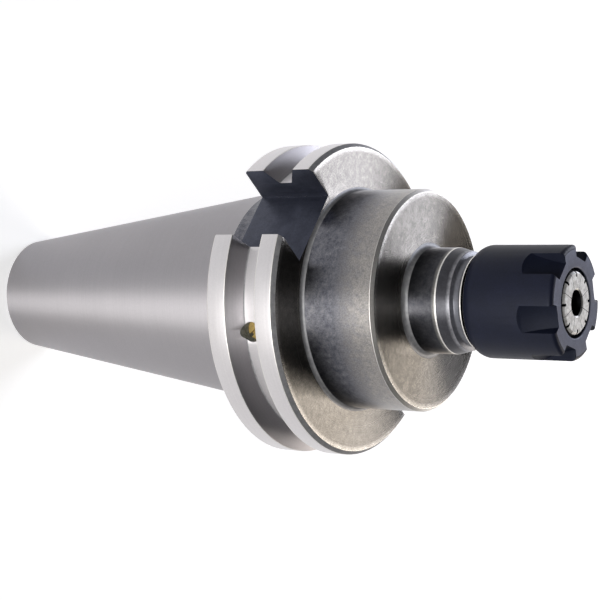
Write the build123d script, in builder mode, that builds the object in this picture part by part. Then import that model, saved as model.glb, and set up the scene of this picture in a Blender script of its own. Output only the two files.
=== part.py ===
"""Collet chuck holder: a 40-size V-flange taper shank with a slim collet nut and a slit collet.

All sizes are in millimetres. The axis of the holder is +Z and the nose points up. Z is 0 at the
small end of the taper, on which the holder stands. The deeper drive slot faces -Y.
"""
from build123d import *
from math import cos, isclose, radians, sin, tan
import os

# Taper shank, 7 in 24 on the diameter
gauge_diameter = 44.45
taper_length = 68.25
taper_ratio = 7 / 24
small_end_chamfer = 0.3

# Draw stud seat in the small end
stud_pilot_diameter = 16.27
stud_pilot_depth = 5.0
stud_thread_core_diameter = 13.5
stud_thread_depth = 28.0
drill_point_angle = 118.0
seat_countersink = 0.6

# Flange with the gripper groove
flange_diameter = 63.5
flange_setback = 3.175
flange_width = 15.875
flange_rear_chamfer = 0.5
flange_front_chamfer = 0.8
groove_bottom_diameter = 56.25
groove_bottom_width = 2.82
groove_flank_angle = 30.0
groove_setback = 11.11

# Drive slots across the flange
drive_slot_width = 16.4
drive_slot_floor_shallow = 25.0
drive_slot_floor_deep = 22.7

# Nose and neck
nose_diameter = 44.3
nose_length = 15.9
nose_chamfer = 0.65
nose_root_fillet = 0.7
neck_diameter = 21.0
neck_length = 6.85
neck_root_fillet = 1.0
neck_cone_length = 2.8
neck_cone_diameter = 19.5
neck_shoulder_length = 0.3
thread_relief_diameter = 17.6
thread_relief_length = 1.0
thread_relief_fillet = 0.3

# Nut thread on the end of the neck
thread_diameter = 19.0
thread_end_chamfer = 0.35
mouth_setback = 0.95

# Collet with a steep taper and a head that the nut pulls on
collet_diameter = 17.0
collet_length = 27.5
collet_head_length = 6.26
collet_half_angle = 8.0
collet_cone_angle = 30.0
collet_face_diameter = 12.0
collet_face_chamfer = 0.5
collet_head_diameter = 15.9
collet_head_land = 0.3
collet_groove_diameter = 13.8
collet_shoulder_chamfer = 0.24
collet_bore_diameter = 5.0
collet_bore_chamfer = 0.25
collet_rear_chamfer = 0.4
collet_stand_out = 0.2
slit_count = 8
rear_slit_width = 0.5
rear_slit_rim_radius = 5.7
rear_slit_run_out = 5.0
rear_slit_disc_radius = 25.0
front_slit_width = 0.14
front_slit_end_wall = 4.5
slit_turn = -3.1

# Collet nut with wrench slots
nut_diameter = 22.0
nut_length = 18.6
nut_setback = 5.9
nut_shoulder_length = 1.9
nut_rear_diameter = 20.6
nut_front_fillet = 0.9
nut_mouth_diameter = 13.4
nut_mouth_chamfer = 0.2
nut_slot_count = 6
nut_slot_depth = 2.5
nut_slot_floor_width = 4.2
nut_slot_length = 7.2
nut_slot_disc_radius = 25.0
nut_tab_corner_radius = 0.6
nut_slot_turn = -5.2
extractor_lip_thickness = 1.2
extractor_lip_overlap = 0.4

# Set screw behind the collet
preset_thread_diameter = 10.9
preset_bore_start = 14.0
stop_screw_length = 12.0
stop_screw_setback = 5.0
stop_screw_socket_width = 5.0
stop_screw_socket_depth = 4.5
stop_screw_hole_diameter = 3.2
stop_screw_end_chamfer = 0.5

# Coolant passages
coolant_bore_diameter = 8.5
coolant_drill_diameter = 3.3
coolant_slant_diameter = 2.6
coolant_meet_radius = 12.7
coolant_port_diameter = 4.0
coolant_port_depth = 2.5
coolant_port_radius = 27.0
coolant_slant_entry = 2.2
coolant_turn = 51.0
plug_hole_diameter = 4.0
plug_hole_depth = 6.4
plug_length = 3.0
plug_depth = 1.8
plug_slot_width = 0.7
plug_slot_depth = 0.9
plug_slot_angle = 35.0

# Clearances
cone_clearance = 0.03
thread_clearance = 0.05
seat_recess_clearance = 0.3
shoulder_clearance = 0.15
shoulder_relief = 0.25
cut_margin = 1.0

# Heights along the axis
gauge_z = taper_length
flange_rear_z = gauge_z + flange_setback
flange_front_z = flange_rear_z + flange_width
groove_z = gauge_z + groove_setback
nose_front_z = flange_front_z + nose_length
neck_front_z = nose_front_z + neck_length
cone_front_z = neck_front_z + neck_cone_length
shoulder_front_z = cone_front_z + neck_shoulder_length
thread_start_z = shoulder_front_z + thread_relief_length
nut_rear_z = neck_front_z + nut_setback
nut_front_z = nut_rear_z + nut_length
collet_face_z = nut_front_z + collet_stand_out
collet_rear_z = collet_face_z - collet_length
collet_shoulder_z = collet_face_z - collet_head_length
mouth_z = collet_shoulder_z - mouth_setback
preset_bore_z = gauge_z + preset_bore_start
stop_screw_front_z = collet_rear_z - stop_screw_setback
stop_screw_rear_z = stop_screw_front_z - stop_screw_length

# Radii and slopes
gauge_radius = gauge_diameter / 2
small_end_radius = gauge_radius - taper_length * taper_ratio / 2
flange_radius = flange_diameter / 2
groove_bottom_radius = groove_bottom_diameter / 2
groove_flank_width = (flange_radius - groove_bottom_radius) * tan(radians(groove_flank_angle))
groove_half_width = groove_bottom_width / 2 + groove_flank_width
nose_radius = nose_diameter / 2
neck_radius = neck_diameter / 2
thread_radius = thread_diameter / 2
collet_slope = tan(radians(collet_half_angle))
head_slope = tan(radians(collet_cone_angle))
collet_radius = collet_diameter / 2
collet_rear_radius = collet_radius - (collet_shoulder_z - collet_rear_z) * collet_slope
collet_face_radius = collet_face_diameter / 2
collet_head_radius = collet_head_diameter / 2
head_cone_length = (collet_head_radius - collet_face_radius) / head_slope
head_rear_z = collet_face_z - collet_face_chamfer - head_cone_length
preset_radius = preset_thread_diameter / 2
pocket_mouth_radius = collet_radius - (collet_shoulder_z - mouth_z) * collet_slope + cone_clearance
pocket_bottom_z = mouth_z - (pocket_mouth_radius - preset_radius) / collet_slope
coolant_bore_radius = coolant_bore_diameter / 2
stud_core_radius = stud_thread_core_diameter / 2
stud_pilot_radius = stud_pilot_diameter / 2
stud_thread_end_z = stud_pilot_depth + stud_thread_depth
drill_point = (stud_core_radius - coolant_bore_radius) / tan(radians(drill_point_angle / 2))
preset_cone = preset_radius - coolant_bore_radius


def rim(solid, radius, height):
    """Return the circular edges of a turned solid at one radius and height."""
    circles = solid.edges().filter_by(GeomType.CIRCLE)
    return circles.filter_by(
        lambda edge: isclose(edge.radius, radius, abs_tol=1e-4)
        and isclose(edge.center().Z, height, abs_tol=1e-4)
    )


# Holder body: shank, flange, nose and threaded neck turned from one bar
with BuildPart() as holder_body:
    with BuildSketch(Plane.XZ):
        with BuildLine():
            Polyline(
                (0, 0),
                (small_end_radius, 0),
                (gauge_radius, gauge_z),
                (gauge_radius, flange_rear_z),
                (flange_radius, flange_rear_z),
                (flange_radius, groove_z - groove_half_width),
                (groove_bottom_radius, groove_z - groove_bottom_width / 2),
                (groove_bottom_radius, groove_z + groove_bottom_width / 2),
                (flange_radius, groove_z + groove_half_width),
                (flange_radius, flange_front_z),
                (nose_radius, flange_front_z),
                (nose_radius, nose_front_z),
                (neck_radius, nose_front_z),
                (neck_radius, neck_front_z),
                (neck_cone_diameter / 2, cone_front_z),
                (thread_relief_diameter / 2, shoulder_front_z),
                (thread_relief_diameter / 2, thread_start_z),
                (thread_radius, thread_start_z + (thread_diameter - thread_relief_diameter) / 2),
                (thread_radius, mouth_z),
                (0, mouth_z),
                close=True,
            )
        make_face()
    revolve(axis=Axis.Z)
    chamfer(rim(holder_body, small_end_radius, 0), small_end_chamfer)
    chamfer(rim(holder_body, flange_radius, flange_rear_z), flange_rear_chamfer)
    chamfer(rim(holder_body, flange_radius, flange_front_z), flange_front_chamfer)
    chamfer(rim(holder_body, nose_radius, nose_front_z), nose_chamfer)
    chamfer(rim(holder_body, thread_radius, mouth_z), thread_end_chamfer)
    fillet(rim(holder_body, nose_radius, flange_front_z), nose_root_fillet)
    fillet(rim(holder_body, neck_radius, nose_front_z), neck_root_fillet)
    fillet(rim(holder_body, thread_relief_diameter / 2, shoulder_front_z), thread_relief_fillet)

    # Bore line: stud seat, coolant bore, set screw thread and collet pocket
    with BuildSketch(Plane.XZ):
        with BuildLine():
            Polyline(
                (0, -cut_margin),
                (stud_pilot_radius + seat_countersink + cut_margin, -cut_margin),
                (stud_pilot_radius, seat_countersink),
                (stud_pilot_radius, stud_pilot_depth),
                (stud_core_radius, stud_pilot_depth + (stud_pilot_radius - stud_core_radius) / 2),
                (stud_core_radius, stud_thread_end_z),
                (coolant_bore_radius, stud_thread_end_z + drill_point),
                (coolant_bore_radius, preset_bore_z),
                (preset_radius, preset_bore_z + preset_cone),
                (preset_radius, pocket_bottom_z),
                (pocket_mouth_radius + cut_margin * collet_slope, mouth_z + cut_margin),
                (0, mouth_z + cut_margin),
                close=True,
            )
        make_face()
    revolve(axis=Axis.Z, mode=Mode.SUBTRACT)

    # Two drive slots of unequal depth, open to both faces of the flange
    slot_height = flange_radius + cut_margin
    for side, floor in ((-1, drive_slot_floor_deep), (1, drive_slot_floor_shallow)):
        slot_centre = (0, side * (floor + slot_height) / 2)
        with BuildSketch(Plane.XY.offset(flange_rear_z)):
            with Locations(slot_centre):
                Rectangle(drive_slot_width, slot_height - floor)
        extrude(amount=flange_width, mode=Mode.SUBTRACT)

    # Coolant: two cross drillings from the gripper groove, each fed by a slanting port hole
    for turn in (coolant_turn - 90, coolant_turn + 90):
        outward = Vector(cos(radians(turn)), sin(radians(turn)), 0)
        level = Vector(0, 0, groove_z)
        drill_plane = Plane(origin=level + outward * groove_bottom_radius, x_dir=(0, 0, 1), z_dir=outward)
        with BuildSketch(drill_plane):
            Circle(coolant_drill_diameter / 2)
        extrude(amount=coolant_bore_radius / 2 - groove_bottom_radius, mode=Mode.SUBTRACT)
        with BuildSketch(drill_plane.offset(-plug_hole_depth)):
            Circle(plug_hole_diameter / 2)
        extrude(amount=plug_hole_depth + flange_radius - groove_bottom_radius, mode=Mode.SUBTRACT)
        port_mouth = outward * coolant_port_radius + Vector(0, 0, flange_rear_z)
        with BuildSketch(Plane(origin=port_mouth, z_dir=(0, 0, 1))):
            Circle(coolant_port_diameter / 2)
        extrude(amount=coolant_port_depth, mode=Mode.SUBTRACT)
        slant_start = port_mouth + Vector(0, 0, coolant_slant_entry)
        slant = level + outward * coolant_meet_radius - slant_start
        with BuildSketch(Plane(origin=slant_start, z_dir=slant.normalized())):
            Circle(coolant_slant_diameter / 2)
        extrude(amount=slant.length, mode=Mode.SUBTRACT)
holder_body.part.label = "holder_body"

# Coolant plugs: slotted set screws that close the two cross drillings
with BuildPart() as coolant_plugs:
    for turn in (coolant_turn - 90, coolant_turn + 90):
        outward = Vector(cos(radians(turn)), sin(radians(turn)), 0)
        plug_face = Vector(0, 0, groove_z) + outward * (groove_bottom_radius - plug_depth)
        face_plane = Plane(origin=plug_face, x_dir=(0, 0, 1), z_dir=outward)
        with BuildSketch(face_plane):
            Circle(plug_hole_diameter / 2 - thread_clearance)
        extrude(amount=-plug_length)
        with BuildSketch(face_plane):
            Rectangle(plug_hole_diameter, plug_slot_width, rotation=plug_slot_angle)
        extrude(amount=-plug_slot_depth, mode=Mode.SUBTRACT)
coolant_plugs.part.label = "coolant_plugs"

# Stop screw: hollow set screw that the cutter shank rests against
with BuildPart() as stop_screw:
    with BuildSketch(Plane.XY.offset(stop_screw_rear_z)):
        Circle(preset_radius - thread_clearance)
        Circle(stop_screw_hole_diameter / 2, mode=Mode.SUBTRACT)
    extrude(amount=stop_screw_length)
    for end_z, inward in ((stop_screw_rear_z, 1), (stop_screw_front_z, -1)):
        with BuildSketch(Plane.XY.offset(end_z)):
            RegularPolygon(stop_screw_socket_width / 2, 6, major_radius=False)
        extrude(amount=inward * stop_screw_socket_depth, mode=Mode.SUBTRACT)
        chamfer(rim(stop_screw, preset_radius - thread_clearance, end_z), stop_screw_end_chamfer)
stop_screw.part.label = "stop_screw"

# Collet: long taper, extraction groove and steep head, slit in turn from both ends
with BuildPart() as collet:
    with BuildSketch(Plane.XZ):
        with BuildLine():
            Polyline(
                (collet_bore_diameter / 2, collet_rear_z),
                (collet_rear_radius - collet_rear_chamfer / 2, collet_rear_z),
                (collet_rear_radius, collet_rear_z + collet_rear_chamfer),
                (collet_radius, collet_shoulder_z - collet_shoulder_chamfer),
                (collet_radius - collet_shoulder_chamfer, collet_shoulder_z),
                (collet_groove_diameter / 2, collet_shoulder_z),
                (collet_groove_diameter / 2, head_rear_z - collet_head_land),
                (collet_head_radius, head_rear_z - collet_head_land),
                (collet_head_radius, head_rear_z),
                (collet_face_radius, collet_face_z - collet_face_chamfer),
                (collet_face_radius - collet_face_chamfer, collet_face_z),
                (collet_bore_diameter / 2 + collet_bore_chamfer, collet_face_z),
                (collet_bore_diameter / 2, collet_face_z - collet_bore_chamfer),
                close=True,
            )
        make_face()
    revolve(axis=Axis.Z)

    # Rear slits: deep everywhere but at the face, where the slitting disc only reaches the rim
    slit_step = 360 / slit_count
    for index in range(slit_count):
        slit_plane = Plane.XZ.rotated((0, 0, slit_turn - 90 + index * slit_step))
        with BuildSketch(slit_plane):
            with BuildLine():
                Polyline(
                    (rear_slit_rim_radius, collet_face_z + cut_margin),
                    (collet_radius + cut_margin, collet_face_z + cut_margin),
                    (collet_radius + cut_margin, collet_rear_z - cut_margin),
                    (0, collet_rear_z - cut_margin),
                    (0, collet_face_z - rear_slit_run_out),
                )
                RadiusArc(
                    (0, collet_face_z - rear_slit_run_out),
                    (rear_slit_rim_radius, collet_face_z + cut_margin),
                    rear_slit_disc_radius,
                )
            make_face()
        extrude(amount=rear_slit_width / 2, both=True, mode=Mode.SUBTRACT)

    # Front slits: thin, from the face to a short wall at the rear end
    front_slit_length = collet_length - front_slit_end_wall + cut_margin
    with BuildSketch(Plane.XY.offset(collet_rear_z + front_slit_end_wall)):
        with PolarLocations(collet_radius, slit_count, start_angle=slit_turn - 90 + slit_step / 2):
            Rectangle(collet_diameter, front_slit_width)
    extrude(amount=front_slit_length, mode=Mode.SUBTRACT)
collet.part.label = "collet"

# Cutter for one wrench slot of the nut: radial flanks and a floor that runs out on a disc arc
nut_radius = nut_diameter / 2
slot_floor = nut_radius - nut_slot_depth
slot_outer = nut_radius + cut_margin
slot_rear_z = nut_front_z - nut_slot_length
flank_spread = nut_slot_floor_width / 2 / slot_floor
with BuildPart() as nut_slot:
    with BuildSketch(Plane.XZ):
        with BuildLine():
            RadiusArc((slot_floor, nut_front_z), (nut_radius, slot_rear_z), -nut_slot_disc_radius)
            Polyline(
                (nut_radius, slot_rear_z),
                (slot_outer, slot_rear_z),
                (slot_outer, nut_front_z + cut_margin),
                (slot_floor, nut_front_z + cut_margin),
                (slot_floor, nut_front_z),
            )
        make_face()
    extrude(amount=nut_radius, both=True)
    with BuildSketch(Plane.XY.offset(slot_rear_z - cut_margin)):
        with BuildLine():
            Polyline(
                (slot_floor - cut_margin, -(slot_floor - cut_margin) * flank_spread),
                (slot_outer, -slot_outer * flank_spread),
                (slot_outer, slot_outer * flank_spread),
                (slot_floor - cut_margin, (slot_floor - cut_margin) * flank_spread),
                close=True,
            )
        make_face()
    extrude(amount=nut_slot_length + 3 * cut_margin, mode=Mode.INTERSECT)

# Collet nut: threaded sleeve with a steep seat, an offset lip for the collet groove and six slots
nut_bore_radius = thread_radius + thread_clearance
seat_mouth_radius = nut_mouth_diameter / 2
seat_shift = cone_clearance / cos(radians(collet_cone_angle))
seat_front_z = (
    collet_face_z - collet_face_chamfer - (seat_mouth_radius - seat_shift - collet_face_radius) / head_slope
)
lip_outer_radius = collet_head_radius + seat_recess_clearance
seat_rear_z = seat_front_z - (lip_outer_radius - seat_mouth_radius) / head_slope
groove_middle_z = (collet_shoulder_z + head_rear_z - collet_head_land) / 2
lip_front_z = groove_middle_z + extractor_lip_thickness / 2
lip_rear_z = groove_middle_z - extractor_lip_thickness / 2
thread_end_z = collet_shoulder_z + shoulder_clearance
with BuildPart() as collet_nut:
    with BuildSketch(Plane.XZ):
        with BuildLine():
            Polyline(
                (nut_radius, nut_rear_z + nut_shoulder_length),
                (nut_radius, nut_front_z),
                (seat_mouth_radius, nut_front_z),
                (seat_mouth_radius, seat_front_z),
                (lip_outer_radius, seat_rear_z),
                (lip_outer_radius, lip_front_z),
                (collet_head_radius - extractor_lip_overlap, lip_front_z),
                (collet_head_radius - extractor_lip_overlap, lip_rear_z),
                (collet_radius + shoulder_relief, lip_rear_z),
                (nut_bore_radius, thread_end_z),
                (nut_bore_radius, nut_rear_z),
                (nut_rear_diameter / 2, nut_rear_z),
            )
            TangentArc(
                (nut_radius, nut_rear_z + nut_shoulder_length),
                (nut_rear_diameter / 2, nut_rear_z),
                tangent=(0, -1),
            )
        make_face()
    revolve(axis=Axis.Z)
    chamfer(rim(collet_nut, seat_mouth_radius, nut_front_z), nut_mouth_chamfer)
    fillet(rim(collet_nut, nut_radius, nut_front_z), nut_front_fillet)
    with BuildSketch(Plane.XY.offset(lip_rear_z)):
        with Locations((extractor_lip_overlap, 0)):
            Circle(collet_head_radius)
    extrude(amount=extractor_lip_thickness, mode=Mode.SUBTRACT)
    with PolarLocations(0, nut_slot_count, start_angle=nut_slot_turn - 90):
        add(nut_slot.part, mode=Mode.SUBTRACT)
    tab_corners = (
        collet_nut.edges()
        .filter_by(GeomType.LINE)
        .group_by(Axis.Z)[-1]
        .filter_by(lambda edge: edge.length < nut_slot_depth + nut_front_fillet)
    )
    fillet(tab_corners, nut_tab_corner_radius)
collet_nut.part.label = "collet_nut"

os.makedirs("parts", exist_ok=True)
export_step(holder_body.part, "parts/holder_body.step")
export_step(coolant_plugs.part, "parts/coolant_plugs.step")
export_step(stop_screw.part, "parts/stop_screw.step")
export_step(collet.part, "parts/collet.step")
export_step(collet_nut.part, "parts/collet_nut.step")
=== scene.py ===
"""Collet chuck holder on a plain white floor: ground taper and flange, worn dark nose, slim nut.

The row frame is used throughout: metres, +Z along the holder's axis towards the nose, Z = 0 at the
small end of the taper, and -Y through the middle of the deeper drive slot. Sizes are written in
millimetres and turned into metres where a mesh is made.
"""

import logging
import math
from dataclasses import dataclass, field
from enum import Enum
from typing import Iterable, Sequence

import bmesh
import bpy
from mathutils import Matrix, Vector

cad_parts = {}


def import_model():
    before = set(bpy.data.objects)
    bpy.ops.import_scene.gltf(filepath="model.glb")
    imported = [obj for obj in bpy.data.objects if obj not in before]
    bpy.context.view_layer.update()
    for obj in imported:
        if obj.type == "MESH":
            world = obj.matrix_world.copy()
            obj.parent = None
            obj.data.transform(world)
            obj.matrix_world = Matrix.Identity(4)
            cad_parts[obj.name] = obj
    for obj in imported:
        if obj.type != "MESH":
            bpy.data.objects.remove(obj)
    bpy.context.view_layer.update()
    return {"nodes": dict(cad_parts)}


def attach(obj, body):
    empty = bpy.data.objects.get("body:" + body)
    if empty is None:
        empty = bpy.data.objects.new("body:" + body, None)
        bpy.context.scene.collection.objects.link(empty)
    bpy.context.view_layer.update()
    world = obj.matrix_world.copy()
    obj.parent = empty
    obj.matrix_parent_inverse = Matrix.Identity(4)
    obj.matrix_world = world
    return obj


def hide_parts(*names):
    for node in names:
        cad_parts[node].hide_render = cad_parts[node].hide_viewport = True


LOG = logging.getLogger("holder")
MM = 0.001
# Turn between two faces above which the shading breaks, in degrees; the seat in the nut turns by 30
SHARP_ANGLE = 29.9


def srgb(value: str, alpha: float = 1.0) -> tuple[float, float, float, float]:
    """Turn an sRGB hex colour into linear values.

    Args:
        value: Colour such as "8a8c90".
        alpha: Opacity to append.

    Returns:
        Linear red, green and blue with the opacity.
    """
    channels = [int(value[i:i + 2], 16) / 255 for i in (0, 2, 4)]
    linear = [c / 12.92 if c <= 0.04045 else ((c + 0.055) / 1.055) ** 2.4 for c in channels]
    return linear[0], linear[1], linear[2], alpha


def add_node(
    tree: bpy.types.NodeTree,
    kind: str,
    links: dict[str | int, object] | None = None,
    **settings: object,
) -> bpy.types.Node:
    """Add a node to a tree with its settings and inputs.

    Args:
        tree: Node tree that receives the node.
        kind: Node type name.
        links: Input name or number, with the value or the output socket that feeds it.
        **settings: Properties of the node itself.

    Returns:
        The new node.
    """
    node = tree.nodes.new(kind)
    for key, value in settings.items():
        setattr(node, key, value)
    for key, value in (links or {}).items():
        if isinstance(value, bpy.types.NodeSocket):
            tree.links.new(value, node.inputs[key])
        else:
            node.inputs[key].default_value = value
    return node


class Cut(Enum):
    """Way in which the surface of a steel piece was made."""

    TURNED = "turned"
    GROUND = "ground"
    MILLED = "milled"


# Values between which most of a noise texture lies, as the colour and the roughness read it
COLOUR_NOISE = (0.3, 0.7)
ROUGHNESS_NOISE = (0.25, 0.75)
# Half the width of a blotch's edge where it has no sharpness, in values of its noise
BLOTCH_EDGE = 0.22
# How far the fine lines darken and lighten the colour, as shares of their depth
LINE_DARK, LINE_LIGHT = 0.5, 0.4
# Height of the relief in millimetres, and the grain's share of it
RELIEF_HEIGHT = 0.02
GRAIN_RELIEF = 0.6
# Values of a band's noise between which it frays, and the most that it covers; the bands are rubbed edges
# and painted highlight
FRAY_NOISE = (0.12, 0.5)
FRAY_COVER = 0.9
# Share of the place by which turned rings wander off round
RING_DRIFT = (0.004, 0.004, 0.0)
# Scale of milled lines along the axis, against that across it
MILLED_STRETCH = 0.06


@dataclass(frozen=True)
class SteelFinish:
    """Finish of a bare, blackened or coated steel surface.

    Attributes:
        name: Material name, said as the real finish.
        colour: Main sRGB colour.
        second: sRGB colour of the worn or darker patches.
        cut: How the surface was made, which sets the run of its fine lines.
        metallic: Share of bare metal.
        roughness: Micro roughness before the fine lines.
        anisotropic: How far the fine lines stretch a highlight.
        line_mm: Real spacing of the fine lines, drawn as coarse as it shows.
        line_depth: Strength of the fine lines in the relief.
        patch_mm: Size of the blotches.
        patch_amount: How strongly the blotches show, 0 to 1.
        specular: Dielectric specular level, for coatings.
        patch_sharp: Contrast of the blotch edges, 0 to 1.
        grain_mm: Size of the fine speckle of the surface.
        grain_amount: How strongly the speckle shows, 0 to 1.
        worn: Colour of the bands near edges: rubbed edges, and painted highlight where a band stands for
            light.
        rub_and_highlight_heights: Heights along the axis of rubbed edges and of painted highlight bands, in
            millimetres.
        worn_radii: Distances from the axis of rubbed edges, in millimetres.
        rub_and_highlight_width: How far a band reaches from its edge, in millimetres.
    """

    name: str
    colour: str
    second: str
    cut: Cut = Cut.TURNED
    metallic: float = 1.0
    roughness: float = 0.35
    anisotropic: float = 0.0
    line_mm: float = 0.35
    line_depth: float = 0.15
    patch_mm: float = 6.0
    patch_amount: float = 0.3
    specular: float = 0.5
    patch_sharp: float = 0.4
    grain_mm: float = 0.3
    grain_amount: float = 0.1
    worn: str = "aaa6a1"
    rub_and_highlight_heights: tuple[float, ...] = ()
    worn_radii: tuple[float, ...] = ()
    rub_and_highlight_width: float = 2.0

    def material(self) -> bpy.types.Material:
        """Build the procedural material.

        Returns:
            The material, made once for each name.
        """
        found = bpy.data.materials.get(self.name)
        if found is not None:
            return found
        made = bpy.data.materials.new(self.name)
        made.use_nodes = True
        tree = made.node_tree
        tree.nodes.clear()
        place = add_node(tree, "ShaderNodeTexCoord").outputs["Object"]
        lines = self._lines(tree, place)
        grain = add_node(
            tree,
            "ShaderNodeTexNoise",
            {"Vector": place, "Scale": 1.0 / (self.grain_mm * MM), "Detail": 2.0, "Roughness": 0.7},
        ).outputs["Fac"]
        roughness = add_node(
            tree,
            "ShaderNodeMapRange",
            {
                "Value": lines,
                "From Min": ROUGHNESS_NOISE[0],
                "From Max": ROUGHNESS_NOISE[1],
                "To Min": max(self.roughness - self.line_depth / 2, 0.02),
                "To Max": min(self.roughness + self.line_depth / 2, 1.0),
            },
            clamp=True,
        )
        height = add_node(
            tree,
            "ShaderNodeMath",
            {0: grain, 1: self.grain_amount * GRAIN_RELIEF, 2: lines},
            operation="MULTIPLY_ADD",
        )
        relief = add_node(
            tree,
            "ShaderNodeBump",
            {
                "Height": height.outputs["Value"],
                "Strength": self.line_depth,
                "Distance": RELIEF_HEIGHT * MM,
            },
        )
        surface = {
            "Base Color": self._colour(tree, place, lines, grain),
            "Metallic": self.metallic,
            "Roughness": roughness.outputs["Result"],
            "Normal": relief.outputs["Normal"],
            "Specular IOR Level": self.specular,
            "Anisotropic": self.anisotropic,
        }
        shader = add_node(tree, "ShaderNodeBsdfPrincipled", surface)
        if self.anisotropic and self.cut is not Cut.MILLED:
            # A quarter turn lays the stretch of the highlight across the turned or ground lines
            shader.inputs["Anisotropic Rotation"].default_value = 0.25
            spin = add_node(tree, "ShaderNodeTangent", direction_type="RADIAL", axis="Z")
            tree.links.new(spin.outputs["Tangent"], shader.inputs["Tangent"])
        add_node(tree, "ShaderNodeOutputMaterial", {"Surface": shader.outputs["BSDF"]})
        return made

    def _colour(
        self,
        tree: bpy.types.NodeTree,
        place: bpy.types.NodeSocket,
        lines: bpy.types.NodeSocket,
        grain: bpy.types.NodeSocket,
    ) -> bpy.types.NodeSocket:
        """Lay blotches, rubbed bands and painted highlight bands, fine lines and speckle over one another.

        Args:
            tree: Node tree of the material.
            place: Object coordinates.
            lines: Grey value of the fine lines.
            grain: Grey value of the speckle.

        Returns:
            Colour of the surface.
        """
        patches = add_node(
            tree,
            "ShaderNodeTexNoise",
            {"Vector": place, "Scale": 1.0 / (self.patch_mm * MM), "Detail": 5.0, "Roughness": 0.62},
        )
        edge = BLOTCH_EDGE * (1 - self.patch_sharp)
        mask = add_node(
            tree,
            "ShaderNodeMapRange",
            {
                "Value": patches.outputs["Fac"],
                "From Min": 0.5 - edge,
                "From Max": 0.5 + edge,
                "To Min": 0.0,
                "To Max": self.patch_amount,
            },
            clamp=True,
        )
        tone = add_node(
            tree,
            "ShaderNodeMix",
            {"Factor": mask.outputs["Result"], 6: srgb(self.colour), 7: srgb(self.second)},
            data_type="RGBA",
        )
        colour = self._rubbed_and_highlit(tree, place, tone.outputs[2], patches.outputs["Fac"])
        layers = (
            (lines, 1 - self.line_depth * LINE_DARK, 1 + self.line_depth * LINE_LIGHT),
            (grain, 1 - self.grain_amount, 1 + self.grain_amount),
        )
        for pattern, dark, light in layers:
            level = add_node(
                tree,
                "ShaderNodeMapRange",
                {
                    "Value": pattern,
                    "From Min": COLOUR_NOISE[0],
                    "From Max": COLOUR_NOISE[1],
                    "To Min": dark,
                    "To Max": light,
                },
                clamp=True,
            )
            shade = add_node(
                tree,
                "ShaderNodeVectorMath",
                {0: colour, "Scale": level.outputs["Result"]},
                operation="SCALE",
            )
            colour = shade.outputs["Vector"]
        return colour

    def _rubbed_and_highlit(
        self,
        tree: bpy.types.NodeTree,
        place: bpy.types.NodeSocket,
        colour: bpy.types.NodeSocket,
        patches: bpy.types.NodeSocket,
    ) -> bpy.types.NodeSocket:
        """Lighten the colour in bands near edges: rubbed edges, and painted highlight where a band stands
        for light.

        Args:
            tree: Node tree of the material.
            place: Object coordinates.
            colour: Colour so far.
            patches: Noise that frays the band.

        Returns:
            Colour with the bands.
        """
        if not (self.rub_and_highlight_heights or self.worn_radii):
            return colour
        radius, height = self._radius_and_height(tree, place)
        edges = [(height, h) for h in self.rub_and_highlight_heights] + [(radius, r) for r in self.worn_radii]
        for measure, edge in edges:
            away = add_node(tree, "ShaderNodeMath", {0: measure, 1: edge * MM}, operation="SUBTRACT")
            size = add_node(tree, "ShaderNodeMath", {0: away.outputs["Value"]}, operation="ABSOLUTE")
            near = add_node(
                tree,
                "ShaderNodeMapRange",
                {
                    "Value": size.outputs["Value"],
                    "From Min": 0.0,
                    "From Max": self.rub_and_highlight_width * MM,
                    "To Min": 1.0,
                    "To Max": 0.0,
                },
                clamp=True,
                interpolation_type="SMOOTHSTEP",
            )
            frayed = add_node(
                tree, "ShaderNodeMath", {0: near.outputs["Result"], 1: patches}, operation="MULTIPLY"
            )
            amount = add_node(
                tree,
                "ShaderNodeMapRange",
                {
                    "Value": frayed.outputs["Value"],
                    "From Min": FRAY_NOISE[0],
                    "From Max": FRAY_NOISE[1],
                    "To Min": 0.0,
                    "To Max": FRAY_COVER,
                },
                clamp=True,
            )
            mixed = add_node(
                tree,
                "ShaderNodeMix",
                {"Factor": amount.outputs["Result"], 6: colour, 7: srgb(self.worn)},
                data_type="RGBA",
            )
            colour = mixed.outputs[2]
        return colour

    def _lines(self, tree: bpy.types.NodeTree, place: bpy.types.NodeSocket) -> bpy.types.NodeSocket:
        """Draw the fine lines that the cutting or grinding left.

        Args:
            tree: Node tree of the material.
            place: Object coordinates.

        Returns:
            Grey value of the lines, about 0.5 on average.
        """
        pitch = 1.0 / (self.line_mm * MM)
        if self.cut is Cut.MILLED:
            stretched = add_node(
                tree,
                "ShaderNodeVectorMath",
                {0: place, 1: (pitch, pitch, pitch * MILLED_STRETCH)},
                operation="MULTIPLY",
            )
            noise = add_node(
                tree,
                "ShaderNodeTexNoise",
                {"Vector": stretched.outputs["Vector"], "Scale": 1.0, "Detail": 3.0},
            )
            return noise.outputs["Fac"]
        radius, height = self._radius_and_height(tree, place)
        ringed = add_node(tree, "ShaderNodeCombineXYZ", {"X": radius, "Y": 0.0, "Z": height})
        path = add_node(
            tree,
            "ShaderNodeVectorMath",
            {0: place, 1: RING_DRIFT, 2: ringed.outputs["Vector"]},
            operation="MULTIPLY_ADD",
        )
        noise = add_node(
            tree,
            "ShaderNodeTexNoise",
            {"Vector": path.outputs["Vector"], "Scale": pitch, "Detail": 3.0, "Roughness": 0.6},
        )
        return noise.outputs["Fac"]

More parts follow.
